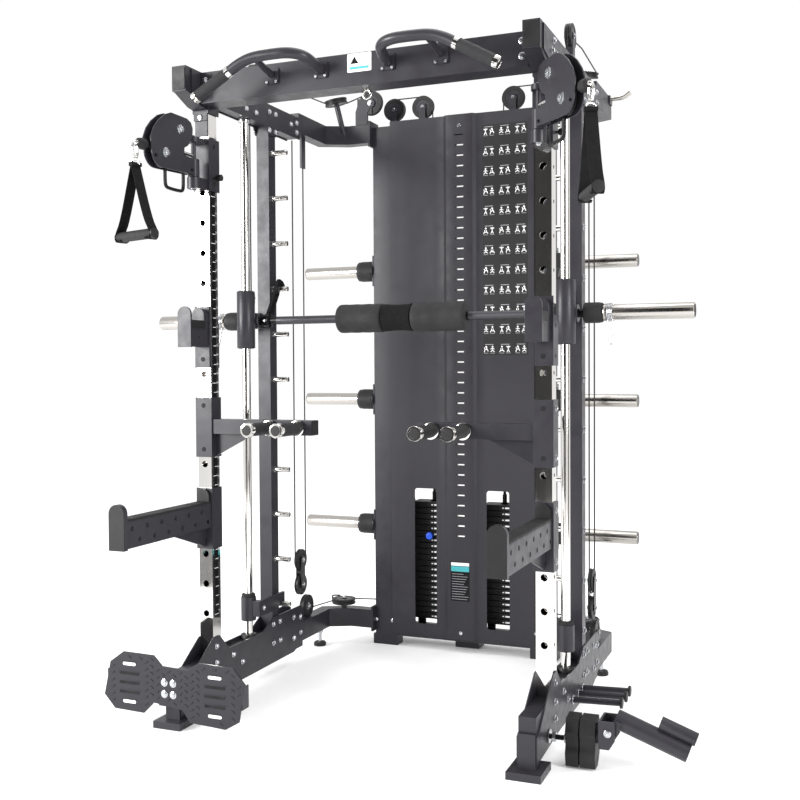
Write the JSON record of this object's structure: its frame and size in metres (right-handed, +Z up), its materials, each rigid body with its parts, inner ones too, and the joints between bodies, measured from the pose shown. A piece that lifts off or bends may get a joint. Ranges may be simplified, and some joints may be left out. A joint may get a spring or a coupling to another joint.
{
  "type": "smith machine",
  "caption": "Smith machine frame with a guided bar on two rods, a weight tower with cable adjusters, pull-up, dip and spotter attachments",
  "frame": {"origin": "on the floor, at the middle of the machine's footprint", "axes": "+X to the right of someone facing the front, +Y to the back, +Z up"},
  "size_m": [1.9982, 1.562, 2.2509],
  "materials": {
    "powder_coat": "matte charcoal powder coat",
    "chrome": "polished chrome plate",
    "bar_steel": "satin zinc plate",
    "cable": "nylon-coated steel cable, semi-gloss black",
    "iron": "matte black",
    "knob": "blue knob, satin",
    "nylon": "matte black nylon",
    "webbing": "black woven webbing",
    "foam": "matte closed-cell foam"
  },
  "bodies": {
    "frame": {"front_crossbeam": "powder_coat", "top_crossmember": "powder_coat", "base_crossmember_left": "powder_coat", "base_crossmember_right": "powder_coat", "weight_tower": "powder_coat", "shroud_panel": "powder_coat", "foot_plate": "powder_coat", "landmine_clamp": "nylon", "base_frame_left": "powder_coat", "top_frame_left": "powder_coat", "front_upright_left": "chrome", "rear_upright_left": "powder_coat", "guide_rod_left": "chrome", "pull_up_bar_left": "powder_coat", "stack_guides_left": "chrome", "lower_plates_left": "iron", "base_frame_right": "powder_coat", "top_frame_right": "powder_coat", "front_upright_right": "chrome", "rear_upright_right": "powder_coat", "guide_rod_right": "chrome", "pull_up_bar_right": "powder_coat", "stack_guides_right": "chrome", "lower_plates_right": "iron"},
    "bar_carriage": {"carriage_left": "powder_coat", "carriage_right": "powder_coat", "counter_cable_left": "cable", "counter_cable_right": "cable"},
    "bar": {"smith_bar": "bar_steel", "bar_pad": "foam"},
    "sleeve_left": {"bar_sleeve_left": "chrome"},
    "slider_left": {"adjuster_slider_left": "powder_coat"},
    "slider_pin_left": {"adjuster_pin_left": "nylon"},
    "head_left": {"adjuster_head_left": "powder_coat"},
    "cable_end_left": {"cable_end_left": "nylon"},
    "handle_left": {"strap_handle_left": "webbing"},
    "stack_left": {"lifted_plates_left": "iron"},
    "selector_left": {"selector_pin_left": "knob"},
    "floating_left": {"floating_pulleys_left": "nylon", "loop_cable_left": "cable"},
    "j_hook_left": {"j_hook_left": "powder_coat"},
    "dip_bar_left": {"dip_bar_left": "powder_coat"},
    "spotter_left": {"spotter_arm_left": "powder_coat"},
    "stop_left": {"lower_stop_left": "powder_coat"},
    "sleeve_right": {"bar_sleeve_right": "chrome"},
    "slider_right": {"adjuster_slider_right": "powder_coat"},
    "slider_pin_right": {"adjuster_pin_right": "nylon"},
    "head_right": {"adjuster_head_right": "powder_coat"},
    "cable_end_right": {"cable_end_right": "nylon"},
    "handle_right": {"strap_handle_right": "webbing"},
    "stack_right": {"lifted_plates_right": "iron"},
    "selector_right": {"selector_pin_right": "knob"},
    "floating_right": {"floating_pulleys_right": "nylon", "loop_cable_right": "cable"},
    "j_hook_right": {"j_hook_right": "powder_coat"},
    "dip_bar_right": {"dip_bar_right": "powder_coat"},
    "spotter_right": {"spotter_arm_right": "powder_coat"},
    "stop_right": {"lower_stop_right": "powder_coat"},
    "landmine_swivel": {"landmine_bracket": "powder_coat"},
    "landmine": {"landmine_tube": "powder_coat"}
  },
  "joints": [
    {"name": "bar_lift", "type": "slide", "parent": "frame", "child": "bar_carriage", "axis": [0, 0, 1], "range_m": [-0.83, 0.498], "deforming": ["counter_cable_left", "counter_cable_right"]},
    {"name": "bar_twist", "type": "hinge", "parent": "bar_carriage", "child": "bar", "pos_m": [-0.0271, 0.021, 1.305], "axis": [1, 0, 0], "range_deg": [0, 35]},
    {"name": "sleeve_spin_left", "type": "hinge", "parent": "bar", "child": "sleeve_left", "pos_m": [-0.8571, 0.021, 1.305], "axis": [1, 0, 0], "continuous": true},
    {"name": "sleeve_spin_right", "type": "hinge", "parent": "bar", "child": "sleeve_right", "pos_m": [0.8029, 0.021, 1.305], "axis": [1, 0, 0], "continuous": true},
    {"name": "adjuster_slide_left", "type": "slide", "parent": "frame", "child": "slider_left", "axis": [0, 0, 1], "range_m": [-0.2, 0]},
    {"name": "adjuster_pin_pull_left", "type": "slide", "parent": "slider_left", "child": "slider_pin_left", "axis": [1, 0, 0], "range_m": [0, 0.012], "stiffness_N_per_m": 400, "springref_m": -0.006},
    {"name": "head_swivel_left", "type": "hinge", "parent": "slider_left", "child": "head_left", "pos_m": [-0.6051, -0.359, 1.812], "axis": [0, 0, 1], "range_deg": [-85, 15]},
    {"name": "cable_pull_left", "type": "slide", "parent": "head_left", "child": "cable_end_left", "axis": [0, -1, 0], "range_m": [0, 1.35]},
    {"name": "strap_swing_left", "type": "hinge", "parent": "cable_end_left", "child": "handle_left", "pos_m": [-0.6051, -0.67, 1.758], "axis": [1, 0, 0], "range_deg": [-60, 20]},
    {"name": "stack_lift_left", "type": "slide", "parent": "frame", "child": "stack_left", "axis": [0, 0, 1], "range_m": [0, 1.35]},
    {"name": "selector_pull_left", "type": "slide", "parent": "stack_left", "child": "selector_left", "axis": [0, -1, 0], "range_m": [0, 0.026]},
    {"name": "floating_lift_left", "type": "slide", "parent": "frame", "child": "floating_left", "axis": [0, 0, 1], "range_m": [0, 0.675], "deforming": ["loop_cable_left"]},
    {"name": "j_hook_slide_left", "type": "slide", "parent": "frame", "child": "j_hook_left", "axis": [0, 0, 1], "range_m": [0, 0.1]},
    {"name": "dip_bar_slide_left", "type": "slide", "parent": "frame", "child": "dip_bar_left", "axis": [0, 0, 1], "range_m": [-0.1, 0]},
    {"name": "spotter_slide_left", "type": "slide", "parent": "frame", "child": "spotter_left", "axis": [0, 0, 1], "range_m": [-0.29, 0]},
    {"name": "lower_stop_lift_left", "type": "slide", "parent": "frame", "child": "stop_left", "axis": [0, 0, 1], "range_m": [0, 0.04]},
    {"name": "adjuster_slide_right", "type": "slide", "parent": "frame", "child": "slider_right", "axis": [0, 0, 1], "range_m": [-0.2, 0]},
    {"name": "adjuster_pin_pull_right", "type": "slide", "parent": "slider_right", "child": "slider_pin_right", "axis": [1, 0, 0], "range_m": [0, 0.012], "stiffness_N_per_m": 400, "springref_m": -0.006},
    {"name": "head_swivel_right", "type": "hinge", "parent": "slider_right", "child": "head_right", "pos_m": [0.5509, -0.359, 1.862], "axis": [0, 0, 1], "range_deg": [-55, 45]},
    {"name": "cable_pull_right", "type": "slide", "parent": "head_right", "child": "cable_end_right", "axis": [0.6428, -0.766, 0], "range_m": [0, 1.35]},
    {"name": "strap_swing_right", "type": "hinge", "parent": "cable_end_right", "child": "handle_right", "pos_m": [0.7508, -0.59724, 1.808], "axis": [0.766, 0.6428, 0], "range_deg": [-60, 20]},
    {"name": "stack_lift_right", "type": "slide", "parent": "frame", "child": "stack_right", "axis": [0, 0, 1], "range_m": [0, 1.35]},
    {"name": "selector_pull_right", "type": "slide", "parent": "stack_right", "child": "selector_right", "axis": [0, -1, 0], "range_m": [0, 0.026]},
    {"name": "floating_lift_right", "type": "slide", "parent": "frame", "child": "floating_right", "axis": [0, 0, 1], "range_m": [0, 0.675], "deforming": ["loop_cable_right"]},
    {"name": "j_hook_slide_right", "type": "slide", "parent": "frame", "child": "j_hook_right", "axis": [0, 0, 1], "range_m": [0, 0.1]},
    {"name": "dip_bar_slide_right", "type": "slide", "parent": "frame", "child": "dip_bar_right", "axis": [0, 0, 1], "range_m": [-0.1, 0]},
    {"name": "spotter_slide_right", "type": "slide", "parent": "frame", "child": "spotter_right", "axis": [0, 0, 1], "range_m": [-0.29, 0]},
    {"name": "lower_stop_lift_right", "type": "slide", "parent": "frame", "child": "stop_right", "axis": [0, 0, 1], "range_m": [0, 0.04]},
    {"name": "landmine_swing", "type": "hinge", "parent": "frame", "child": "landmine_swivel", "pos_m": [0.7305, -0.372, 0.1], "axis": [1, 0, 0], "range_deg": [-60, 60]},
    {"name": "landmine_tilt", "type": "hinge", "parent": "landmine_swivel", "child": "landmine", "pos_m": [0.7568, -0.372, 0.116], "axis": [0, 1, 0], "range_deg": [-50, 0]}
  ],
  "couplings": [
    {"joint": "cable_pull_left", "follows": "stack_lift_left", "ratio": 1},
    {"joint": "floating_lift_left", "follows": "stack_lift_left", "ratio": 0.5},
    {"joint": "cable_pull_right", "follows": "stack_lift_right", "ratio": 1},
    {"joint": "floating_lift_right", "follows": "stack_lift_right", "ratio": 0.5}
  ]
}
